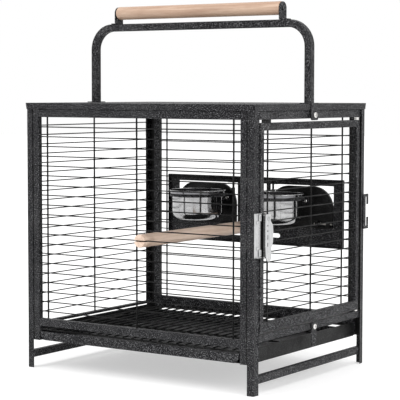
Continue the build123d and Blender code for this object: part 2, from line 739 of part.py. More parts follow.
def feeder_bolt(hand, side):
    """Sliding bolt with a knob that reaches out through the hatch."""
    y, z = BOLT_YZ
    tail = GUIDES[0][0] - 3.0
    with BuildPart() as bolt:
        rod(BOLT_R, (tail, y, z), BOLT_REST - tail, "x")
        rod(1.9, (KNOB_X, y, z), HATCH_Y[1] + 2 - y, "y")
        rod(3.8, (KNOB_X, HATCH_Y[1] + 0.8, z), 5.0, "y")
        fillet(bolt.edges().filter_by(GeomType.CIRCLE).sort_by(Axis.X)[-1], radius=1.0)
        if side == LEFT:
            mirror(about=Plane.YZ, mode=Mode.REPLACE)
    finish(bolt, f"feeder_bolt_{hand}")


def perch():
    """Natural wood dowel: a slot grips a front wire, a screw holds its back end."""
    front, rear = -193.5, FEEDER_Y[0] - 0.2
    slot = 14.0
    pilot = 20.0
    with BuildPart() as dowel:
        rod(PERCH_R, (PERCH_X, front, PERCH_Z), rear - front, "y")
        fillet(dowel.edges(), radius=1.6)
        between(
            (PERCH_X - 20, PERCH_X + 20),
            (front - 1, front + slot),
            (PERCH_Z - 1.3, PERCH_Z + 1.3),
            Mode.SUBTRACT,
        )
        rod(SCREW_R + FIT, (PERCH_X, rear - pilot, PERCH_Z), pilot + 1, "y", Mode.SUBTRACT)
    finish(dowel, "perch")

    with BuildPart() as screw:
        rod(SCREW_R, (PERCH_X, rear - pilot + 2, PERCH_Z), pilot - 1.8 + 1.5, "y")
        rod(4.5, (PERCH_X, FEEDER_Y[1], PERCH_Z), 2.6, "y")
    finish(screw, "perch_screw")


# ---- tray, grate and their runners --------------------------------------------------
def tray_runners():
    """Two-level runners: the tray slides on the lower shelf, the grate on the upper."""
    y = (-RUNNER_Y, RUNNER_Y)
    for hand, side in SIDES.items():
        with BuildPart() as runner:
            between(mirrored((STILE_X[1] - SHEET, STILE_X[1]), side), y, (49.5, RUNNER_TOP))
            between(mirrored((190.0, STILE_X[1]), side), y, (SHELF_TOP - SHEET, SHELF_TOP))
            between(
                mirrored((203.0, STILE_X[1]), side), y, (GRATE_SHELF - SHEET, GRATE_SHELF)
            )
        finish(runner, f"tray_runner_{hand}")


def waste_tray():
    """Shallow pan whose front wall widens into a lip with cut corners."""
    wall = 1.0
    cut = 8.0
    front = Plane(origin=(0, TRAY_Y[0], 0), x_dir=(1, 0, 0), z_dir=(0, -1, 0))
    with BuildPart() as tray:
        between((-TRAY_X, TRAY_X), TRAY_Y, TRAY_Z)
        between(
            (wall - TRAY_X, TRAY_X - wall),
            shrink(TRAY_Y, wall),
            (TRAY_Z[0] + wall, TRAY_Z[1] + 1),
            Mode.SUBTRACT,
        )
        with BuildSketch(front):
            with BuildLine():
                Polyline(
                    (-LIP_X, LIP_TOP),
                    (-LIP_X, TRAY_Z[0] + cut),
                    (cut - LIP_X, TRAY_Z[0]),
                    (LIP_X - cut, TRAY_Z[0]),
                    (LIP_X, TRAY_Z[0] + cut),
                    (LIP_X, LIP_TOP),
                    close=True,
                )
            make_face()
        extrude(amount=wall)
    finish(tray, "waste_tray")


def floor_grate():
    """Grate of long bars welded on four cross wires, drawn out over the tray."""
    cross_z = GRATE_SHELF + 0.1 + ROD_R
    bar_r = 1.3
    bar_z = cross_z + ROD_R + bar_r - 0.4
    half = GRATE_PITCH * (GRATE_WIRES - 1) / 2
    with BuildPart() as grate:
        bars = [(GRATE_PITCH * i - half, GRATE_Y[0], bar_z) for i in range(GRATE_WIRES)]
        rods(bar_r, bars, GRATE_Y[1] - GRATE_Y[0], "y")
        rods(ROD_R, [(-LIP_X, y, cross_z) for y in GRATE_CROSS], 2 * LIP_X, "x")
    finish(grate, "floor_grate")


os.makedirs("parts", exist_ok=True)
corner_posts()
end_rails()
long_panel_frame("front", -1)
long_panel_frame("back", 1)
front_wires()
back_wires()
left_end_wires()
roof_cap()
main_door()
latch()
swivel_tab()
side_bracket()
handle()
frame_screws()
feeder_frame()
for hand_name, hand_side in SIDES.items():
    feeder_hatch(hand_name, hand_side)
    bowl_ring(hand_name, hand_side)
    bowl(hand_name, hand_side)
    feeder_bolt(hand_name, hand_side)
perch()
tray_runners()
waste_tray()
floor_grate()
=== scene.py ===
import json
from math import cos, pi, radians, sin

import bpy
from mathutils import Matrix, Vector


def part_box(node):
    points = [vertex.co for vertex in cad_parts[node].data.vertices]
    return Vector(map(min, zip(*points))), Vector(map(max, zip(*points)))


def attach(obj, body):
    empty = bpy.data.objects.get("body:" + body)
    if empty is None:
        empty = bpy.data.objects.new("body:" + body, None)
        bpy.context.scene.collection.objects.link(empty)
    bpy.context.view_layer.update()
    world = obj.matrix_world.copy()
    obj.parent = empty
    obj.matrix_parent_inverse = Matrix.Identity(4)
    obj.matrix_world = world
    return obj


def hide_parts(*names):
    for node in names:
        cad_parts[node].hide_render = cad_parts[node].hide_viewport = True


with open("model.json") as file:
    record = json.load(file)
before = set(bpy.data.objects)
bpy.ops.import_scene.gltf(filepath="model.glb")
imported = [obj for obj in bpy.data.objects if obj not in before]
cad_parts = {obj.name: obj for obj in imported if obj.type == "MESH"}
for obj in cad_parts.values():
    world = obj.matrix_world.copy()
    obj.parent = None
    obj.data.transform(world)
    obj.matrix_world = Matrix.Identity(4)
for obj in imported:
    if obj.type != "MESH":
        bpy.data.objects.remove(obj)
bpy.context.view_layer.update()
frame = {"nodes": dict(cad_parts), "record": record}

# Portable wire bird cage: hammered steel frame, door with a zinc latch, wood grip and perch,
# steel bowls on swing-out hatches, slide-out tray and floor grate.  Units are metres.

MM = 0.001
X, Y, Z = 0, 1, 2
RIGHT_ANGLE = pi / 2
SIDES = {"left": -1, "right": 1}
BODY_OF = {
    node: body
    for body, nodes in frame["record"]["behaviour"]["bodies"].items()
    for node in nodes
}
SLOT_OF = {part["node"]: part["material_slot"] for part in frame["record"]["subparts"]}

WALL = 1.2 * MM  # folded sheet and tube wall
TUBE_ROUNDING = 0.9 * MM
WELD_MERGE = 0.01 * MM


# ---- camera, light and floor ---------------------------------------------------------
def add_camera():
    """A long lens, a little above the middle of the cage, in front of its door corner."""
    lens = bpy.data.cameras.new("camera")
    lens.lens = 135.5
    lens.sensor_width = 36.0
    camera = bpy.data.objects.new("camera", lens)
    camera.location = (1.5127, -2.2271, 0.4935)
    camera.rotation_euler = (radians(85.852), radians(-0.08), radians(34.08))
    bpy.context.scene.collection.objects.link(camera)
    bpy.context.scene.camera = camera


def add_softbox(name, place, aim, size, power):
    """A square area light turned towards a point."""
    lamp = bpy.data.lights.new(name, "AREA")
    lamp.shape = "SQUARE"
    lamp.size = size
    lamp.energy = power
    softbox = bpy.data.objects.new(name, lamp)
    softbox.location = place
    softbox.rotation_mode = "QUATERNION"
    softbox.rotation_quaternion = (Vector(aim) - Vector(place)).to_track_quat("-Z", "Y")
    bpy.context.scene.collection.objects.link(softbox)


def add_studio():
    """A white room, a large soft key light, a side fill and a pale floor."""
    world = bpy.data.worlds.new("white_room")
    world.use_nodes = True
    sky = world.node_tree.nodes["Background"]
    sky.inputs["Color"].default_value = (1, 1, 1, 1)
    sky.inputs["Strength"].default_value = 1.0
    bpy.context.scene.world = world
    bpy.context.scene.view_settings.view_transform = "Standard"
    add_softbox("key", (-1.4, -2.6, 2.6), (0, 0, 0.25), 1.6, 42)
    add_softbox("fill", (2.9, -0.9, 1.5), (0, 0, 0.25), 1.4, 30)
    ceiling = bpy.data.lights.new("ceiling", "SUN")
    ceiling.energy = 0.75
    ceiling.angle = radians(70)
    panel = bpy.data.objects.new("ceiling", ceiling)
    panel.location = (0, 0, 3)
    bpy.context.scene.collection.objects.link(panel)

    bpy.ops.object.select_all(action="DESELECT")
    bpy.ops.mesh.primitive_circle_add(vertices=96, radius=14, fill_type="NGON")
    floor = bpy.context.active_object
    floor.name = "floor"
    floor.data.materials.append(floor_paint())


# ---- node helpers --------------------------------------------------------------------
def add(tree, kind, inputs=None, **settings):
    """Add a node, set its properties, then set or link its inputs."""
    item = tree.nodes.new(kind)
    for key, value in settings.items():
        setattr(item, key, value)
    for key, value in (inputs or {}).items():
        if isinstance(value, bpy.types.NodeSocket):
            tree.links.new(value, item.inputs[key])
        else:
            item.inputs[key].default_value = value
    return item


def noise(tree, place, scale, detail=2.0, roughness=0.5, distortion=0.0):
    """Grey noise over the surface."""
    values = {
        "Vector": place,
        "Scale": scale,
        "Detail": detail,
        "Roughness": roughness,
        "Distortion": distortion,
    }
    return add(tree, "ShaderNodeTexNoise", values).outputs[0]


def spread(tree, value, low, high, to_low=0.0, to_high=1.0):
    """Stretch a value from one range to another, clamped."""
    values = {
        "Value": value,
        "From Min": low,
        "From Max": high,
        "To Min": to_low,
        "To Max": to_high,
    }
    return add(tree, "ShaderNodeMapRange", values).outputs["Result"]


def maths(tree, operation, first, second):
    """One arithmetic step."""
    return add(tree, "ShaderNodeMath", {0: first, 1: second}, operation=operation).outputs[0]


def mix_colour(tree, share, first, second, way="MIX"):
    """Mix two colours by a share from 0 to 1."""
    values = {0: share, 6: first, 7: second}
    return add(tree, "ShaderNodeMix", values, data_type="RGBA", blend_type=way).outputs[2]


def new_group(name, inputs, outputs):
    """A node group with named sockets; returns its tree, its inputs and its outputs."""
    tree = bpy.data.node_groups.new(name, "ShaderNodeTree")
    for label, (kind, value) in inputs.items():
        socket = tree.interface.new_socket(label, in_out="INPUT", socket_type=kind)
        if value is not None:
            socket.default_value = value
    for label, kind in outputs.items():
        tree.interface.new_socket(label, in_out="OUTPUT", socket_type=kind)
    given = tree.nodes.new("NodeGroupInput").outputs
    result = tree.nodes.new("NodeGroupOutput").inputs
    return tree, given, result


def use_group(tree, group, inputs):
    """Place a node group in a material with its own values."""
    item = tree.nodes.new("ShaderNodeGroup")
    item.node_tree = group
    for key, value in inputs.items():
        if isinstance(value, bpy.types.NodeSocket):
            tree.links.new(value, item.inputs[key])
        else:
            item.inputs[key].default_value = value
    return item.outputs


VECTOR, NUMBER, COLOUR = "NodeSocketVector", "NodeSocketFloat", "NodeSocketColor"


# ---- shared effects ------------------------------------------------------------------
def make_hammered_paint():
    """Powder coat that has drawn up into small cells, with paler veins between them."""
    tree, given, result = new_group(
        "hammered_paint",
        {
            "Place": (VECTOR, None),
            "Cells": (NUMBER, 520.0),
            "Dark": (COLOUR, (0.02, 0.02, 0.02, 1)),
            "Pale": (COLOUR, (0.1, 0.1, 0.1, 1)),
        },
        {"Color": COLOUR, "Roughness": NUMBER, "Height": NUMBER},
    )
    drift = noise(tree, given["Place"], 180.0, 2.0)
    wander = add(
        tree,
        "ShaderNodeVectorMath",
        {0: drift, 1: (0.0022, 0.0022, 0.0022)},
        operation="MULTIPLY",
    )
    bent = add(
        tree,
        "ShaderNodeVectorMath",
        {0: given["Place"], 1: wander.outputs[0]},
        operation="ADD",
    )
    cells = add(
        tree,
        "ShaderNodeTexVoronoi",
        {"Vector": bent.outputs[0], "Scale": given["Cells"], "Smoothness": 0.6},
        feature="SMOOTH_F1",
    )
    rise = spread(tree, cells.outputs["Distance"], 0.1, 0.75)
    speckle = noise(tree, given["Place"], 640.0, 3.0, 0.7)
    veins = maths(tree, "MULTIPLY", rise, spread(tree, speckle, 0.54, 0.60))
    clouds = noise(tree, given["Place"], 11.0, 3.0)
    coat = mix_colour(tree, veins, given["Dark"], given["Pale"])
    fade = spread(tree, clouds, 0.3, 0.7, 0.84, 1.14)
    toned = mix_colour(tree, 1.0, coat, fade, "MULTIPLY")
    tree.links.new(toned, result["Color"])
    tree.links.new(spread(tree, speckle, 0.3, 0.7, 0.52, 0.34), result["Roughness"])
    tree.links.new(maths(tree, "MULTIPLY", rise, -1.0), result["Height"])
    return tree


def make_handling():
    """Smears and fine dust from handling: a smear mask and a dust mask."""
    tree, given, result = new_group(
        "handling",
        {"Place": (VECTOR, None), "Size": (NUMBER, 30.0)},
        {"Smear": NUMBER, "Dust": NUMBER},
    )
    smear = noise(tree, given["Place"], given["Size"], 4.0, 0.6, 0.8)
    specks = noise(tree, given["Place"], 650.0, 2.0, 0.6)
    patches = noise(tree, given["Place"], 24.0, 3.0, 0.6)
    dust = maths(tree, "MULTIPLY", spread(tree, specks, 0.5, 0.75), spread(tree, patches, 0.45, 0.7))
    tree.links.new(spread(tree, smear, 0.35, 0.7), result["Smear"])
    tree.links.new(dust, result["Dust"])
    return tree


def make_wood_grain():
    """Straight wood grain: growth bands, fine fibres and a few darker flecks."""
    tree, given, result = new_group(
        "wood_grain",
        {
            "Place": (VECTOR, None),
            "Along": (VECTOR, None),
            "Pale": (COLOUR, (0.6, 0.4, 0.25, 1)),
            "Brown": (COLOUR, (0.4, 0.2, 0.1, 1)),
            "Bands": (NUMBER, 60.0),
        },
        {"Color": COLOUR, "Roughness": NUMBER, "Height": NUMBER},
    )
    drawn = add(
        tree,
        "ShaderNodeVectorMath",
        {0: given["Place"], 1: given["Along"]},
        operation="MULTIPLY",
    ).outputs[0]
    bands = noise(tree, drawn, given["Bands"], 2.0, 0.5, 0.6)
    fibres = noise(tree, drawn, 900.0, 3.0, 0.65)
    clouds = noise(tree, given["Place"], 9.0, 2.0)
    knots = noise(tree, given["Place"], 26.0, 1.0, 0.4, 0.4)
    share = maths(tree, "MULTIPLY", spread(tree, bands, 0.38, 0.66), 0.55)
    share = maths(tree, "ADD", share, spread(tree, fibres, 0.45, 0.8, 0.0, 0.35))
    share = maths(tree, "ADD", share, spread(tree, knots, 0.68, 0.78, 0.0, 0.6))
    wood = mix_colour(tree, share, given["Pale"], given["Brown"])
    toned = mix_colour(tree, 1.0, wood, spread(tree, clouds, 0.3, 0.7, 0.93, 1.06), "MULTIPLY")
    tree.links.new(toned, result["Color"])
    tree.links.new(spread(tree, fibres, 0.3, 0.7, 0.42, 0.62), result["Roughness"])
    tree.links.new(maths(tree, "ADD", fibres, bands), result["Height"])
    return tree


def make_drawn_lines():
    """Fine parallel lines left by a wheel or a die, stretched by the vector they read."""
    tree, given, result = new_group(
        "drawn_lines",
        {"Place": (VECTOR, None), "Stretch": (VECTOR, None)},
        {"Lines": NUMBER},
    )
    drawn = add(
        tree,
        "ShaderNodeVectorMath",
        {0: given["Place"], 1: given["Stretch"]},
        operation="MULTIPLY",
    ).outputs[0]
    tree.links.new(noise(tree, drawn, 1000.0, 2.0, 0.6), result["Lines"])
    return tree


HAMMERED_PAINT = make_hammered_paint()
HANDLING = make_handling()
WOOD_GRAIN = make_wood_grain()
DRAWN_LINES = make_drawn_lines()


# ---- finishes ------------------------------------------------------------------------
def new_finish(name, **direct):
    """A material with values set on its shader; returns it, its tree, shader and place."""
    material = bpy.data.materials.new(name)
    material.use_nodes = True
    tree = material.node_tree
    shader = tree.nodes["Principled BSDF"]
    for key, value in direct.items():
        shader.inputs[key.replace("_", " ")].default_value = value
    place = add(tree, "ShaderNodeTexCoord").outputs["Object"]
    return material, tree, shader, place


def link_bump(tree, shader, height, strength, distance):
    """Turn a height into a bump on the shader's normal."""
    values = {"Height": height, "Strength": strength, "Distance": distance}
    tree.links.new(add(tree, "ShaderNodeBump", values).outputs["Normal"], shader.inputs["Normal"])


def coat(name, dark, pale, cells, strength, sheen):
    """Dark hammered powder coat, a little dusty."""
    material, tree, shader, place = new_finish(
        name, Metallic=0.0, IOR=1.4, Specular_IOR_Level=sheen
    )
    paint = use_group(
        tree,
        HAMMERED_PAINT,
        {"Place": place, "Cells": cells, "Dark": (*dark, 1), "Pale": (*pale, 1)},
    )
    wear = use_group(tree, HANDLING, {"Place": place, "Size": 30.0})
    dusty = mix_colour(
        tree, maths(tree, "MULTIPLY", wear["Dust"], 0.35), paint["Color"], (0.3, 0.3, 0.3, 1)
    )
    tree.links.new(dusty, shader.inputs["Base Color"])
    smeared = maths(tree, "MULTIPLY", wear["Smear"], 0.1)
    tree.links.new(
        maths(tree, "ADD", paint["Roughness"], smeared), shader.inputs["Roughness"]
    )
    link_bump(tree, shader, paint["Height"], strength, 0.35 * MM)
    return material


def timber(name, pale, brown, along, bands, strength):
    """Sanded wood with its grain along one axis."""
    material, tree, shader, place = new_finish(name, Metallic=0.0, IOR=1.45)
    grain = use_group(
        tree,
        WOOD_GRAIN,
        {"Place": place, "Along": along, "Pale": (*pale, 1), "Brown": (*brown, 1), "Bands": bands},
    )
    wear = use_group(tree, HANDLING, {"Place": place, "Size": 45.0})
    soiled = mix_colour(
        tree, maths(tree, "MULTIPLY", wear["Smear"], 0.12), grain["Color"], (*brown, 1)
    )
    tree.links.new(soiled, shader.inputs["Base Color"])
    tree.links.new(grain["Roughness"], shader.inputs["Roughness"])
    link_bump(tree, shader, grain["Height"], strength, 0.2 * MM)
    return material


def bare_metal(name, tone, shadow_tone, stretch, smooth, rough, strength):
    """Bright metal with fine drawn lines, slight clouding and smears."""
    material, tree, shader, place = new_finish(name, Metallic=1.0)
    lines = use_group(tree, DRAWN_LINES, {"Place": place, "Stretch": stretch})
    wear = use_group(tree, HANDLING, {"Place": place, "Size": 60.0})
    streaked = mix_colour(
        tree, spread(tree, lines["Lines"], 0.35, 0.65, 0.0, 0.5), (*tone, 1), (*shadow_tone, 1)
    )
    clouded = mix_colour(
        tree, maths(tree, "MULTIPLY", wear["Smear"], 0.3), streaked, (*shadow_tone, 1)
    )
    tree.links.new(clouded, shader.inputs["Base Color"])
    tree.links.new(
        spread(tree, wear["Smear"], 0.0, 1.0, smooth, rough), shader.inputs["Roughness"]
    )
    link_bump(tree, shader, lines["Lines"], strength, 0.1 * MM)
    return material


def floor_paint():
    """Matt white floor with a trace of unevenness."""
    material, tree, shader, place = new_finish(
        "floor_white", Metallic=0.0, Emission_Color=(1, 1, 1, 1), Emission_Strength=0.48
    )
    tone = noise(tree, place, 2.5, 3.0)
    pale = mix_colour(tree, tone, (0.55, 0.55, 0.55, 1), (0.58, 0.58, 0.58, 1))
    tree.links.new(pale, shader.inputs["Base Color"])
    tree.links.new(spread(tree, tone, 0.3, 0.7, 0.7, 0.8), shader.inputs["Roughness"])
    link_bump(tree, shader, noise(tree, place, 300.0, 2.0), 0.05, 0.2 * MM)
    return material


FRAME_COAT = coat("hammered_coat", (0.002, 0.002, 0.003), (0.22, 0.22, 0.23), 460.0, 0.7, 0.2)
# Hatch coat: the hatches' own near-black paint, also used as painted shade on the lap strips and the
# tray runners.
HATCH_COAT_AND_PAINTED_SHADE = coat("hatch_coat_and_painted_shade", (0.001, 0.001, 0.001), (0.03, 0.03, 0.032), 480.0, 0.4, 0.25)
WIRE_COAT = coat("wire_coat", (0.002, 0.002, 0.002), (0.02, 0.02, 0.021), 900.0, 0.25, 0.15)
GRIP_WOOD = timber(
    "grip_wood", (0.53, 0.38, 0.28), (0.30, 0.17, 0.11), (0.06, 1, 1), 150.0, 0.25
)
PERCH_WOOD = timber(
    "perch_wood", (0.74, 0.58, 0.47), (0.46, 0.32, 0.24), (1, 0.05, 1), 170.0, 0.5
)
STAINLESS = bare_metal(
    "stainless", (0.46, 0.46, 0.46), (0.28, 0.28, 0.29), (0.02, 0.02, 1.0), 0.07, 0.16, 0.05
)
# Collar steel: a darker copy of the stainless, a painted reflection standing for the dark
# surroundings the mirror collar reflects.
COLLAR_STEEL_PAINTED_DARK_REFLECTION = bare_metal(
    "collar_steel_painted_dark_reflection", (0.26, 0.26, 0.27), (0.14, 0.14, 0.15), (0.02, 0.02, 1.0), 0.1, 0.2, 0.05
)
ZINC = bare_metal("zinc", (0.60, 0.60, 0.60), (0.42, 0.43, 0.44), (1, 0.3, 0.05), 0.24, 0.42, 0.12)
SCREW_STEEL = bare_metal(
    "screw_steel", (0.78, 0.77, 0.75), (0.5, 0.49, 0.48), (1, 0.4, 0.4), 0.16, 0.32, 0.1
)
# Blackened steel: the grip screws' own dark finish, and painted shade on the latch's door plate and
# barrel.
BLACK_STEEL_AND_PAINTED_SHADE = bare_metal(
    "black_steel_and_painted_shade", (0.10, 0.10, 0.10), (0.05, 0.05, 0.05), (1, 0.4, 0.4), 0.3, 0.45, 0.1
)
BOLT_STEEL = bare_metal(
    "bolt_steel", (0.50, 0.48, 0.45), (0.32, 0.30, 0.28), (0.3, 1, 1), 0.28, 0.45, 0.1
)
FINISH_OF_SLOT = {
    "hammered_coat": FRAME_COAT,
    "coated_wire": WIRE_COAT,
    "grip_wood": GRIP_WOOD,
    "perch_wood": PERCH_WOOD,
    "stainless": STAINLESS,
    "zinc": ZINC,
    "bright_steel": SCREW_STEEL,
}


# ---- workshop ------------------------------------------------------------------------
def only(piece):
    """Select one piece and nothing else."""
    bpy.ops.object.select_all(action="DESELECT")
    piece.select_set(True)
    bpy.context.view_layer.objects.active = piece


def fresh(name):
    """Name the primitive just added and put its place into its mesh."""
    piece = bpy.context.active_object
    bpy.ops.object.transform_apply(location=True, rotation=True, scale=True)
    piece.name = name
    piece.data.name = name
    return piece


def block(name, low, high):
    """A box between two corners, ready to be shaped."""
    bpy.ops.object.select_all(action="DESELECT")
    low, high = Vector(low), Vector(high)
    bpy.ops.mesh.primitive_cube_add(size=1, location=(low + high) / 2, scale=high - low)
    return fresh(name)


def bar(name, start, length, radius, along, sides=24):
    """A round bar from a point along one axis."""
    bpy.ops.object.select_all(action="DESELECT")
    turn = {X: (0, RIGHT_ANGLE, 0), Y: (RIGHT_ANGLE, 0, 0), Z: (0, 0, 0)}[along]
    middle = Vector(start)
    middle[along] += length / 2
    bpy.ops.mesh.primitive_cylinder_add(
        vertices=sides, radius=radius, depth=abs(length), location=middle, rotation=turn
    )
    return fresh(name)


def pick(piece, kind, wanted):
    """In edit mode, select the corners, edges or faces that pass a test of their place."""
    only(piece)
    bpy.ops.object.mode_set(mode="EDIT")
    bpy.ops.mesh.select_mode(type=kind)
    bpy.ops.mesh.select_all(action="DESELECT")
    bpy.ops.object.mode_set(mode="OBJECT")
    mesh = piece.data
    if kind == "VERT":
        for corner in mesh.vertices:
            corner.select = wanted(corner.co)
    elif kind == "EDGE":
        for edge in mesh.edges:
            edge.select = wanted(*(mesh.vertices[i].co for i in edge.vertices))
    else:
        for face in mesh.polygons:
            face.select = wanted(face.center, face.normal)
    bpy.ops.object.mode_set(mode="EDIT")


def pick_all(piece):
    """In edit mode, select everything."""
    only(piece)
    bpy.ops.object.mode_set(mode="EDIT")
    bpy.ops.mesh.select_mode(type="VERT")
    bpy.ops.mesh.select_all(action="SELECT")


def leave():
    """Back to object mode."""
    bpy.ops.object.mode_set(mode="OBJECT")


def push(by):
    """Extrude what is selected by a vector."""
    bpy.ops.mesh.extrude_region_move(TRANSFORM_OT_translate={"value": by})


def apply(piece, modifier):
    """Apply a modifier to its piece."""
    only(piece)
    bpy.ops.object.modifier_apply(modifier=modifier.name)


def ease(piece, width, segments=2, sharper_than=40):
    """Round the sharp edges of a piece."""
    rounding = piece.modifiers.new("edges", "BEVEL")
    rounding.width = width
    rounding.segments = segments
    rounding.limit_method = "ANGLE"
    rounding.angle_limit = radians(sharper_than)
    apply(piece, rounding)


def cut(piece, *cutters):
    """Cut other pieces out of this one and throw them away."""
    for cutter in cutters:
        hole = piece.modifiers.new("hole", "BOOLEAN")
        hole.operation = "DIFFERENCE"
        hole.solver = "EXACT"
        hole.object = cutter
        apply(piece, hole)
        bpy.data.objects.remove(cutter)


def thicken(piece, thickness):
    """Give a sheet its thickness, away from its outer face."""
    sheet = piece.modifiers.new("sheet", "SOLIDIFY")
    sheet.thickness = thickness
    sheet.offset = -1
    sheet.use_even_offset = True
    apply(piece, sheet)


def face_out(piece):
    """Merge what coincides and turn every face outwards."""
    pick_all(piece)
    bpy.ops.mesh.remove_doubles(threshold=WELD_MERGE)
    bpy.ops.mesh.normals_make_consistent(inside=False)
    leave()


def join(first, *others):
    """Join pieces into the first one."""
    only(first)
    for other in others:
        other.select_set(True)
    bpy.ops.object.join()
    return first


def copied(piece, name, place):
    """A copy with its own mesh, moved by a matrix."""
    twin = bpy.data.objects.new(name, piece.data.copy())
    twin.data.name = name
    twin.data.transform(place)
    bpy.context.scene.collection.objects.link(twin)
    if place.determinant() < 0:
        only(twin)
        pick_all(twin)
        bpy.ops.mesh.flip_normals()
        leave()
    return twin


def fit(piece, node, finish=None, smoother_than=32):
    """Smooth a piece, give it its finish and let it stand for its CAD node."""
    only(piece)
    bpy.ops.object.shade_smooth_by_angle(angle=radians(smoother_than))
    weighted = piece.modifiers.new("flat_faces", "WEIGHTED_NORMAL")
    weighted.keep_sharp = True
    apply(piece, weighted)
    piece.data.materials.clear()
    piece.data.materials.append(finish or FINISH_OF_SLOT[SLOT_OF[node]])
    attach(piece, BODY_OF[node])
    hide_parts(node)


# ---- steel sections ------------------------------------------------------------------
def square_tube(name, low, high, along):
    """A rectangular tube between two corners, with rounded long edges and open ends."""
    piece = block(name, low, high)
    pick(piece, "EDGE", lambda a, b: abs((a - b)[along]) > 0.1 * MM)
    bpy.ops.mesh.bevel(offset=TUBE_ROUNDING, segments=3, affect="EDGES")
    leave()
    pick(piece, "FACE", lambda middle, normal: abs(normal[along]) > 0.9)
    bpy.ops.mesh.inset(thickness=WALL, depth=0, use_individual=True)
    bpy.ops.mesh.inset(thickness=0.01 * MM, depth=-8 * MM, use_individual=True)
    leave()
    return piece


def folded_strip(name, outline, run, outward, bend=1.6 * MM, thickness=WALL):
    """A strip folded along an outline of its outer faces, drawn out along a straight run."""
    outline = [Vector(point) for point in outline]
    bpy.ops.object.select_all(action="DESELECT")
    bpy.ops.mesh.primitive_plane_add(size=MM, location=outline[0])
    piece = fresh(name)
    pick_all(piece)
    bpy.ops.mesh.merge(type="CENTER")
    for here, there in zip(outline, outline[1:]):
        bpy.ops.mesh.extrude_vertices_move(TRANSFORM_OT_translate={"value": there - here})
    leave()
    folds = outline[1:-1]
    pick(piece, "VERT", lambda at: any((at - fold).length < 0.01 * MM for fold in folds))
    bpy.ops.mesh.bevel(offset=bend, segments=4, affect="VERTICES")
    bpy.ops.mesh.select_all(action="SELECT")
    push(run)
    leave()
    if piece.data.polygons[0].normal.dot(Vector(outward)) < 0:
        pick_all(piece)
        bpy.ops.mesh.flip_normals()
        leave()
    thicken(piece, thickness)
    ease(piece, 0.25 * MM, 2, 60)
    return piece


def make_posts():
    """Four folded angles from the floor to the roof."""
    for depth, front in (("front", -1), ("rear", 1)):
        for hand, side in SIDES.items():
            node = f"corner_post_{depth}_{hand}"
            low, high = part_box(node)
            out_x, in_x = (low.x, high.x) if side < 0 else (high.x, low.x)
            out_y, in_y = (low.y, high.y) if front < 0 else (high.y, low.y)
            outline = [(in_x, out_y, low.z), (out_x, out_y, low.z), (out_x, in_y, low.z)]
            run = (0, 0, high.z - low.z)
            post = folded_strip(f"angle_post_{depth}_{hand}", outline, run, (0, front, 0))
            fit(post, node)


def make_stiles():
    """Upright tubes of the long panels, each with its lap strip behind the post, the strip
    near-black as painted shade in the seam.
    """
    wide = 12 * MM
    for word in ("front", "back"):
        for hand, side in SIDES.items():
            node = f"{word}_stile_{hand}"
            low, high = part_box(node)
            inner = low.x if side > 0 else high.x
            edge = inner + side * wide
            outer = high.x if side > 0 else low.x
            tube_low = (min(inner, edge), low.y, low.z)
            tube_high = (max(inner, edge), high.y, high.z)
            stile = square_tube(f"{word}_upright_{hand}", tube_low, tube_high, Z)
            face = low.y + WALL if word == "front" else high.y - 2 * WALL
            strip_low = (min(edge, outer), face, low.z)
            strip_high = (max(edge, outer), face + WALL, high.z)
            strip = block(f"lap_strip_{word}_{hand}", strip_low, strip_high)
            ease(strip, 0.2 * MM)
            # The strip takes the near-black hatch coat as painted shade: it darkens the seam between
            # post and stile, where shade falls.
            fit(strip, node, HATCH_COAT_AND_PAINTED_SHADE)
            fit(stile, node)


def make_rails():
    """Every straight tube of the panels, the ends and the door."""
    runs = {f"{word}_{level}_rail": X for word in ("front", "back") for level in ("top", "bottom")}
    for hand in SIDES:
        for word in ("top_rail", "bottom_rail", "stretcher"):
            runs[f"{hand}_end_{word}"] = Y
    runs["door_top_rail"] = runs["door_bottom_rail"] = Y
    runs["door_stile_front"] = runs["door_stile_rear"] = Z
    for node, along in runs.items():
        low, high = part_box(node)
        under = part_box("left_end_top_rail")[0].z
        stops = node == "right_end_top_rail"
        if stops:
            tab = block(
                "door_stop",
                (low.x + 0.7 * MM, -149 * MM, low.z),
                (low.x + 2.1 * MM, -121 * MM, under + WALL),
            )
            ease(tab, 0.4 * MM)
            low = Vector((low.x, low.y, under))
        rail = square_tube(f"{node}_tube", low, high, along)
        fit(join(rail, tab) if stops else rail, node)


def make_roof():
    """Roof sheet pressed with four lips, each stopping short of the corners."""
    low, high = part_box("roof_cap")
    sheet, notch, reach = 1.0 * MM, 2.2 * MM, high.z - low.z
    bpy.ops.object.select_all(action="DESELECT")
    middle = ((low.x + high.x) / 2, (low.y + high.y) / 2, high.z)
    size = (high.x - low.x, high.y - low.y, 1)
    bpy.ops.mesh.primitive_plane_add(size=1, location=middle)
    bpy.ops.transform.resize(value=size)
    roof = fresh("roof_sheet")
    for axis, at in ((X, low.x), (X, high.x), (Y, low.y), (Y, high.y)):
        pick(
            roof,
            "EDGE",
            lambda a, b: abs(a[axis] - at) < 0.1 * MM and abs(b[axis] - at) < 0.1 * MM
            and min(a.z, b.z) > high.z - 0.1 * MM,
        )
        push((0, 0, -reach))
        along = Y if axis == X else X
        squeeze = [1.0, 1.0, 1.0]
        squeeze[along] = 1 - 2 * notch / size[along]
        bpy.ops.transform.resize(value=squeeze)
        leave()
    if max(roof.data.polygons, key=lambda face: face.area).normal.z < 0:
        pick_all(roof)
        bpy.ops.mesh.flip_normals()
        leave()
    thicken(roof, sheet)
    ease(roof, 0.8 * MM, 3, 60)
    fit(roof, "roof_cap")


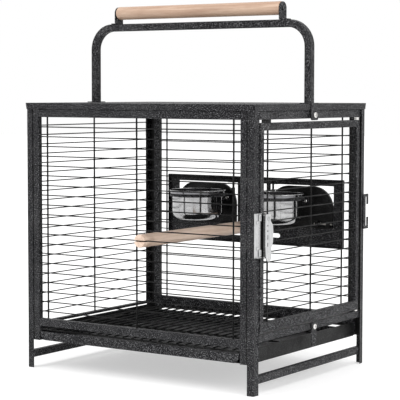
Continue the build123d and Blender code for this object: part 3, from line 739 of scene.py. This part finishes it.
# ---- handle --------------------------------------------------------------------------
def make_handle_arch():
    """Square tube bent twice, drawn from one foot over to the other."""
    low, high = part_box("handle_tube")
    wide = high.y - low.y
    centre_y = (low.y + high.y) / 2
    leg = high.x - wide / 2
    bend = 40 * MM
    turn_z = high.z - wide / 2 - bend
    bpy.ops.object.select_all(action="DESELECT")
    bpy.ops.mesh.primitive_plane_add(size=wide, location=(-leg, centre_y, low.z))
    arch = fresh("handle_arch")
    pick_all(arch)
    bpy.ops.mesh.bevel(offset=1.6 * MM, segments=3, affect="VERTICES")
    bpy.ops.mesh.delete(type="ONLY_FACE")
    bpy.ops.mesh.select_all(action="SELECT")
    push((0, 0, turn_z - low.z))
    for centre_x, straight in ((bend - leg, 2 * (leg - bend)), (leg - bend, 0)):
        bpy.ops.mesh.spin(
            steps=14,
            angle=-RIGHT_ANGLE,
            center=(centre_x, centre_y, turn_z),
            axis=(0, 1, 0),
        )
        if straight:
            push((straight, 0, 0))
    push((0, 0, low.z - turn_z))
    bpy.ops.mesh.select_all(action="SELECT")
    bpy.ops.mesh.fill_holes(sides=0)
    leave()
    face_out(arch)
    fit(arch, "handle_tube")


def make_grip():
    """Turned wood grip with softened ends."""
    low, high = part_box("handle_grip")
    radius = (high.z - low.z) / 2
    middle = (low + high) / 2
    start = (low.x, middle.y, middle.z)
    grip = bar("wood_grip", start, high.x - low.x, radius, X, 56)
    ease(grip, 2.2 * MM, 5)
    fit(grip, "handle_grip")


# ---- perch ---------------------------------------------------------------------------
def make_perch():
    """Natural dowel, never quite round or straight, sawn with a slot at its front end."""
    low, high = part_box("perch")
    middle = (low + high) / 2
    radius = (high.z - low.z) / 2
    spans = 30
    step = (high.y - low.y) / spans
    bpy.ops.object.select_all(action="DESELECT")
    bpy.ops.mesh.primitive_circle_add(
        vertices=36,
        radius=radius * 0.975,
        location=(middle.x, low.y, middle.z),
        rotation=(RIGHT_ANGLE, 0, 0),
        fill_type="NGON",
    )
    perch = fresh("wood_perch")
    pick_all(perch)
    for i in range(spans):
        swell = 0.012 * (sin(1.9 * i) + 0.6 * sin(0.7 * i + 1.0) - sin(1.9 * i - 1.9))
        push((0, step, 0))
        bpy.ops.transform.resize(value=(1 + swell * 0.5, 1, 1 + swell * 0.4))
    leave()
    face_out(perch)
    ease(perch, 1.8 * MM, 4, 60)
    slot = 14 * MM
    saw = block(
        "saw_cut",
        (low.x - MM, low.y - MM, middle.z - 1.3 * MM),
        (high.x + MM, low.y + slot, middle.z + 1.3 * MM),
    )
    cut(perch, saw)
    fit(perch, "perch")


# ---- feeder --------------------------------------------------------------------------
def turned(name, outline, centre, steps=72):
    """A shape turned about an upright axis from its outline of radius and height."""
    points = [Vector((centre[0] + r, centre[1], z)) for r, z in outline]
    bpy.ops.object.select_all(action="DESELECT")
    bpy.ops.mesh.primitive_plane_add(size=MM, location=points[0])
    piece = fresh(name)
    pick_all(piece)
    bpy.ops.mesh.merge(type="CENTER")
    for here, there in zip(points, points[1:]):
        bpy.ops.mesh.extrude_vertices_move(TRANSFORM_OT_translate={"value": there - here})
    bpy.ops.mesh.select_all(action="SELECT")
    bpy.ops.mesh.spin(
        steps=steps, angle=2 * pi, center=(centre[0], centre[1], 0), axis=(0, 0, 1)
    )
    leave()
    face_out(piece)
    return piece


def arc(centre, radius, start, end, parts):
    """Points along a round corner, from one angle to another in degrees."""
    turns = [radians(start + (end - start) * i / parts) for i in range(parts + 1)]
    return [(centre[0] + radius * cos(t), centre[1] + radius * sin(t)) for t in turns]


def make_bowls():
    """Spun steel bowls: rounded foot, straight wall, stepped collar and rolled rim."""
    wall, collar_r, body_r, foot, bead = 0.8 * MM, 52 * MM, 48 * MM, 16 * MM, 1.1 * MM
    for hand in SIDES:
        node = f"bowl_{hand}"
        low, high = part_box(node)
        centre = ((low.x + high.x) / 2, (low.y + high.y) / 2)
        ring_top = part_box(f"bowl_ring_{hand}")[1].z - 0.5 * MM
        shelf = ring_top + 0.3 * MM
        outline = [(0, low.z)]
        outline += arc((body_r - foot, low.z + foot), foot, -90, 0, 10)
        outline += [(body_r, shelf)]
        dish = turned(f"steel_bowl_{hand}", outline, centre)
        thicken(dish, wall)
        step = [(body_r - wall, shelf)]
        step += arc((collar_r - 1.4 * MM, shelf + 1.4 * MM), 1.4 * MM, -90, 0, 4)
        step += [(collar_r, high.z - bead)]
        collar = turned(f"bowl_collar_{hand}", step, centre)
        thicken(collar, wall)
        # The collar gets the darker steel copy as a painted dark reflection.
        fit(collar, node, COLLAR_STEEL_PAINTED_DARK_REFLECTION, 60)
        bpy.ops.object.select_all(action="DESELECT")
        bpy.ops.mesh.primitive_torus_add(
            location=(*centre, high.z - bead),
            major_radius=collar_r + 0.2 * MM,
            minor_radius=bead,
            major_segments=72,
            minor_segments=12,
        )
        rim = fresh("rolled_rim")
        fit(join(dish, rim), node, smoother_than=60)


def make_bowl_rings():
    """Flat-bar rings, each with a web to a bar that is screwed to its hatch."""
    inner, outer = 48.5 * MM, 52.5 * MM
    soft = 0.9 * MM
    for hand in SIDES:
        node = f"bowl_ring_{hand}"
        low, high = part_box(node)
        centre = ((low.x + high.x) / 2, low.y + outer)
        top, under = high.z - 0.5 * MM, high.z - 5 * MM
        corners = [
            *arc((inner + soft, under + soft), soft, 180, 270, 3),
            *arc((outer - soft, under + soft), soft, 270, 360, 3),
            *arc((outer - soft, top - soft), soft, 0, 90, 3),
            *arc((inner + soft, top - soft), soft, 90, 180, 3),
        ]
        ring = turned(f"carrier_ring_{hand}", [*corners, corners[0]], centre)
        back = high.y
        web = block(
            "web",
            (centre[0] - 22 * MM, centre[1] + inner * 0.9, under + 1.2 * MM),
            (centre[0] + 22 * MM, back, top - 1.2 * MM),
        )
        plate = block(
            "plate",
            (centre[0] - 33 * MM, back - 1.5 * MM, low.z),
            (centre[0] + 33 * MM, back, high.z),
        )
        for made in (web, plate):
            ease(made, 0.4 * MM)
        fit(join(ring, web, plate), node)


# ---- screws --------------------------------------------------------------------------
def pan_screw(radius, height):
    """A pan head facing +X on the origin, with a cross recess and a short shank behind."""
    head = bar("screw_master", (0, 0, 0), height, radius, X, 32)
    pick(head, "EDGE", lambda a, b: min(a.x, b.x) > height - 0.01 * MM)
    bpy.ops.mesh.bevel(offset=min(radius, height) * 0.55, segments=5, affect="EDGES")
    leave()
    arm, slit = radius * 0.62, radius * 0.13
    depth = height * 0.45
    recess = [
        block("recess", (height - depth, -arm, -slit), (height + MM, arm, slit)),
        block("recess", (height - depth, -slit, -arm), (height + MM, slit, arm)),
    ]
    cut(head, *recess)
    shank = bar("shank", (-3 * MM, 0, 0), 3 * MM, radius * 0.4, X, 16)
    return join(head, shank)


def towards(axis, side):
    """The turn that takes +X to plus or minus an axis."""
    if axis == X:
        return Matrix.Rotation(0 if side > 0 else pi, 4, "Z")
    return Matrix.Rotation(RIGHT_ANGLE * side, 4, "Z")


def screw_set(node, master, places, finish=None):
    """One piece of several equal screws, each at its place and facing its way."""
    heads = [
        copied(master, f"{node}_head", Matrix.Translation(at) @ towards(axis, side))
        for at, axis, side in places
    ]
    screws = join(*heads)
    screws.name = f"{node}_set"
    fit(screws, node, finish)


def make_screws():
    """Pan heads at the handle feet, the turn button, the grip, the perch and the rings."""
    low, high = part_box("frame_screws")
    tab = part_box("swivel_tab")
    foot_y, foot_z = 1.5 * MM, 452.7 * MM
    rise = 2.8 * MM
    master = pan_screw(5.0 * MM, rise)
    tab_y = (tab[0].y + tab[1].y) / 2
    tab_z = tab[1].z - 9 * MM
    places = [
        ((high.x - rise, foot_y, foot_z), X, 1),
        ((low.x + rise, foot_y, foot_z), X, -1),
        ((tab[1].x + 0.1 * MM, tab_y, tab_z), X, 1),
    ]
    screw_set("frame_screws", master, places)
    bpy.data.objects.remove(master)

    low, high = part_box("grip_screws")
    rise = 2.2 * MM
    centre_y, centre_z = (low.y + high.y) / 2, (low.z + high.z) / 2
    master = pan_screw((high.z - low.z) / 2, rise)
    places = [((side * (high.x - rise), centre_y, centre_z), X, side) for side in (1, -1)]
    screw_set("grip_screws", master, places, BLACK_STEEL_AND_PAINTED_SHADE)
    bpy.data.objects.remove(master)

    low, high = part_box("perch_screw")
    rise = 2.6 * MM
    middle = (low + high) / 2
    master = pan_screw((high.z - low.z) / 2, rise)
    screw_set("perch_screw", master, [((middle.x, high.y - rise, middle.z), Y, 1)])
    bpy.data.objects.remove(master)

    rise = 2.2 * MM
    master = pan_screw(3.5 * MM, rise)
    for hand in SIDES:
        low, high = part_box(f"ring_bolts_{hand}")
        height = (low.z + high.z) / 2
        places = []
        for x in (low.x + 3.6 * MM, high.x - 3.6 * MM):
            places.append(((x, low.y + rise, height), Y, -1))
            places.append(((x, high.y - rise, height), Y, 1))
        screw_set(f"ring_bolts_{hand}", master, places)
    bpy.data.objects.remove(master)


# ---- latch ---------------------------------------------------------------------------
def flat_plate(name, outline, depth, corner):
    """A plate from the outline of one face, thickened by a vector, its corners rounded."""
    outline = [Vector(point) for point in outline]
    bpy.ops.object.select_all(action="DESELECT")
    bpy.ops.mesh.primitive_plane_add(size=MM, location=outline[0])
    piece = fresh(name)
    pick_all(piece)
    bpy.ops.mesh.merge(type="CENTER")
    for here, there in zip(outline, outline[1:]):
        bpy.ops.mesh.extrude_vertices_move(TRANSFORM_OT_translate={"value": there - here})
    bpy.ops.mesh.select_all(action="SELECT")
    bpy.ops.mesh.edge_face_add()
    bpy.ops.mesh.select_all(action="SELECT")
    bpy.ops.mesh.bevel(offset=corner, segments=4, affect="VERTICES")
    bpy.ops.mesh.select_all(action="SELECT")
    push(depth)
    leave()
    face_out(piece)
    return piece


def make_latch():
    """Keeper on the post; on the door a pin and a lever with pressed holes."""
    low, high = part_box("latch_keeper")
    plate = block("keeper_plate", low, (low.x + WALL, high.y, high.z))
    ease(plate, 0.5 * MM, 3)
    extras = []
    for near, way in ((high.z, -1), (low.z, 1)):
        ear = block(
            "ear",
            (low.x, low.y + 3 * MM, min(near, near + way * WALL)),
            (high.x, high.y - 3 * MM, max(near, near + way * WALL)),
        )
        ease(ear, 0.45 * MM, 3)
        hook_z = near + way * 7.5 * MM
        hook = block(
            "hook",
            (low.x + WALL, high.y - 6.5 * MM, hook_z - 5.5 * MM),
            (low.x + 3.6 * MM, high.y - 0.8 * MM, hook_z + 5.5 * MM),
        )
        ease(hook, 0.9 * MM, 3)
        slot = block(
            "slot",
            (low.x + 2.6 * MM, high.y - 5.0 * MM, hook_z - 2.6 * MM),
            (low.x + 5 * MM, high.y - 3.6 * MM, hook_z + 2.6 * MM),
        )
        cut(hook, slot)
        extras += [ear, hook]
    for height in (240 * MM, 282 * MM):
        rivet = bar("rivet", (low.x + WALL, low.y + 8 * MM, height), 1.3 * MM, 3 * MM, X, 24)
        ease(rivet, 0.8 * MM, 4)
        extras.append(rivet)
    fit(join(plate, *extras), "latch_keeper")

    low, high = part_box("latch_lever")
    barrel_top, barrel_low = 283.1 * MM, 234.9 * MM
    face = high.x
    sheet = 1.4 * MM
    outline = [
        (low.y, 294.5 * MM),
        (-147.5 * MM, 294.5 * MM),
        (-147 * MM, 283 * MM),
        (-140 * MM, 276.5 * MM),
        (-138.5 * MM, 262 * MM),
        (-140 * MM, 246.5 * MM),
        (-144.5 * MM, 240 * MM),
        (-144.5 * MM, 222.5 * MM),
        (-149.5 * MM, 217 * MM),
        (-156.5 * MM, 217.5 * MM),
        (-161.5 * MM, 224 * MM),
        (low.y, 236 * MM),
    ]
    points = [(face - sheet, y, z) for y, z in outline]
    lever = flat_plate("lever_plate", points, (sheet, 0, 0), 1.6 * MM)
    punches = []
    for y, z, reach in ((-156, 276, 0), (-156, 267, 0), (-156, 257, 3.8), (-156, 245, 3.2)):
        radius = 1.5 * MM
        start = (face - 2 * sheet, y * MM, z * MM)
        if reach:
            punches.append(
                block(
                    "punch",
                    (start[0], start[1] - 1.1 * MM, start[2] - reach * MM),
                    (face + MM, start[1] + 1.1 * MM, start[2] + reach * MM),
                )
            )
        else:
            punches.append(bar("punch", start, 4 * sheet, radius, X, 20))
    cut(lever, *punches)
    ease(lever, 0.35 * MM, 2, 50)
    barrel = bar(
        "barrel", (240 * MM, -160.5 * MM, barrel_low), barrel_top - barrel_low, 2.2 * MM, Z, 24
    )
    ease(barrel, 0.4 * MM)
    web = block(
        "web",
        (240 * MM, -160.3 * MM, barrel_low),
        (face - sheet / 2, -158.5 * MM, barrel_top),
    )
    ease(web, 0.3 * MM)
    eyelet = bar("eyelet", (face - 0.6 * MM, -154 * MM, 287 * MM), 1.0 * MM, 3.9 * MM, X, 28)
    dimple = bar("dimple", (face - 0.2 * MM, -154 * MM, 287 * MM), 3 * MM, 2.0 * MM, X, 24)
    cut(eyelet, dimple)
    ease(eyelet, 0.3 * MM, 2)
    eyelet.data.transform(Matrix.Translation((-0.4 * MM, 0, 0)))
    fit(join(lever, web, eyelet), "latch_lever")
    barrel.name = "latch_barrel"
    # The barrel is blackened as painted shade: it shows the shadow gap beside the lever as a dark
    # line.
    fit(barrel, "latch_lever", BLACK_STEEL_AND_PAINTED_SHADE)


# ---- sheet parts that keep their CAD outline -----------------------------------------
def eased_copy(node, name, edge, finish=None):
    """A merged copy of a CAD node with its sharp edges rounded."""
    source = frame["nodes"][node]
    piece = bpy.data.objects.new(name, source.data.copy())
    piece.data.name = name
    bpy.context.scene.collection.objects.link(piece)
    only(piece)
    bpy.ops.mesh.customdata_custom_splitnormals_clear()
    pick_all(piece)
    bpy.ops.mesh.remove_doubles(threshold=WELD_MERGE)
    bpy.ops.mesh.dissolve_limited(angle_limit=radians(0.8))
    leave()
    ease(piece, edge, 2, 50)
    fit(piece, node, finish)


def make_sheet_parts():
    """Brackets, plates, tray and hatches, with eased edges."""
    eased_copy("feeder_frame", "feeder_plate", 0.3 * MM)
    eased_copy("waste_tray", "drop_tray", 0.25 * MM)
    eased_copy("side_bracket", "c_bracket", 0.4 * MM)
    eased_copy("swivel_tab", "turn_button", 0.4 * MM)
    # The latch door plate is blackened as painted shade for the shaded gap under the lever.
    eased_copy("latch_base", "latch_door_plate", 0.25 * MM, BLACK_STEEL_AND_PAINTED_SHADE)
    for hand in SIDES:
        eased_copy(f"feeder_hatch_{hand}", f"hatch_door_{hand}", 0.3 * MM, HATCH_COAT_AND_PAINTED_SHADE)
        eased_copy(f"feeder_bolt_{hand}", f"slide_bolt_{hand}", 0.3 * MM, BOLT_STEEL)
        eased_copy(f"handle_foot_{hand}", f"foot_strap_{hand}", 0.35 * MM)
        eased_copy(f"grip_bracket_{hand}", f"grip_plate_{hand}", 0.45 * MM)
        # The tray runners take the near-black hatch coat as painted shade, since they sit recessed
        # under the cage.
        eased_copy(f"tray_runner_{hand}", f"slide_rail_{hand}", 0.25 * MM, HATCH_COAT_AND_PAINTED_SHADE)


def dress_frame_nodes():
    """Wires, grate and pins keep their CAD shape and get their finish."""
    for node, item in frame["nodes"].items():
        for slot in item.material_slots:
            slot.material = FINISH_OF_SLOT[SLOT_OF[node]]


add_camera()
add_studio()
dress_frame_nodes()
make_posts()
make_stiles()
make_rails()
make_roof()
make_handle_arch()
make_grip()
make_perch()
make_bowls()
make_bowl_rings()
make_screws()
make_latch()
make_sheet_parts()
